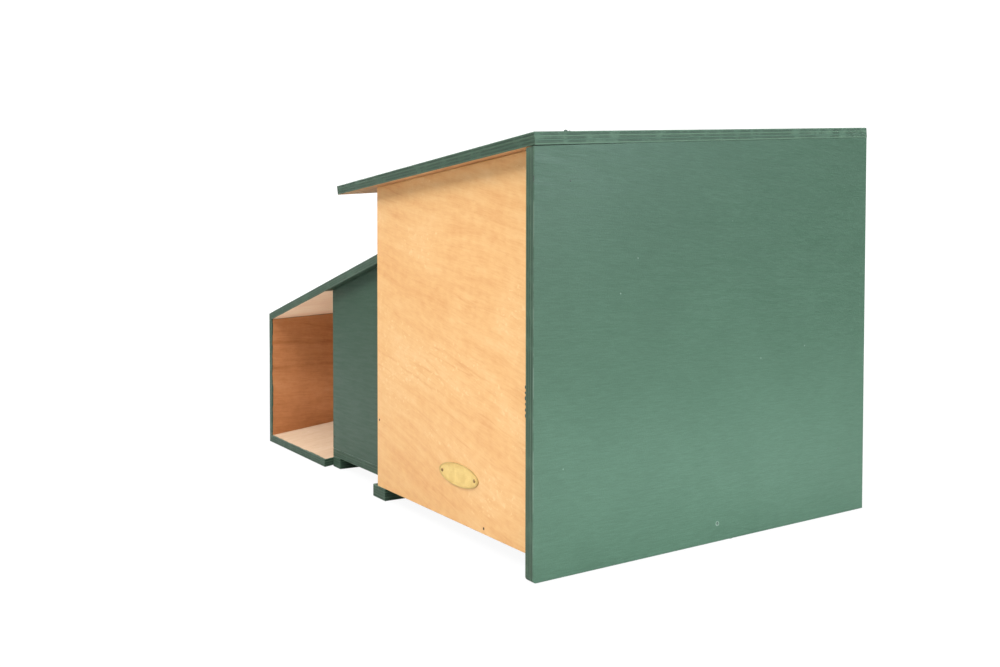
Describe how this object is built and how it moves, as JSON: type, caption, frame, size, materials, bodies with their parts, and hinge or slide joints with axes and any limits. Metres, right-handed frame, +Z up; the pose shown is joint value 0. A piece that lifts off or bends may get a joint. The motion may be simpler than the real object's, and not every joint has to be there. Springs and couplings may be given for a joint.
{
  "type": "nesting box",
  "caption": "Plywood nesting box: tall nest chamber under a hinged sloping roof, with a low side porch holding an open alcove and a passage to the chamber, on runners.",
  "frame": {"origin": "on the ground, below the middle of the whole part's bounding box, hinge knuckles included", "axes": "+X to the right seen from the front, from the porch to the nest chamber; +Y to the back; +Z up"},
  "size_m": [0.81, 0.4788, 0.4443],
  "materials": {
    "green_painted_ply": "satin green paint over plywood",
    "varnished_ply": "clear satin varnish over plywood",
    "natural_ply": "bare plywood",
    "brass": "satin",
    "steel": "zinc plated"
  },
  "bodies": {
    "box": {"right_side_panel": "green_painted_ply", "front_panel": "varnished_ply", "chamber_back_panel": "green_painted_ply", "chamber_left_wall": "natural_ply", "chamber_floor": "natural_ply", "near_runner": "green_painted_ply", "far_runner": "green_painted_ply", "passage_front_wall": "green_painted_ply", "passage_floor": "natural_ply", "entrance_partition": "natural_ply", "alcove_ramp": "natural_ply", "alcove_floor": "natural_ply", "alcove_front_batten": "green_painted_ply", "alcove_rear_batten": "green_painted_ply", "alcove_end_wall": "green_painted_ply", "porch_back_panel": "green_painted_ply", "porch_roof": "green_painted_ply", "badge_plate": "brass", "badge_pins": "brass", "hinge_panel_leaves": "brass", "hinge_pins": "steel", "hinge_panel_screws": "brass", "side_panel_screw": "steel", "front_panel_nails": "steel", "passage_wall_nails": "steel", "chamber_back_nails": "steel", "porch_back_nails": "steel", "end_wall_nails": "steel", "porch_roof_nails": "steel", "floor_nails": "steel"},
    "roof": {"main_roof": "green_painted_ply", "hinge_roof_leaves": "brass", "hinge_roof_screws": "brass"}
  },
  "joints": [
    {"name": "roof_hinge", "type": "hinge", "parent": "box", "child": "roof", "pos_m": [0.225, 0.23705, 0.43286], "axis": [-1, 0, 0], "range_deg": [0, 180]}
  ]
}
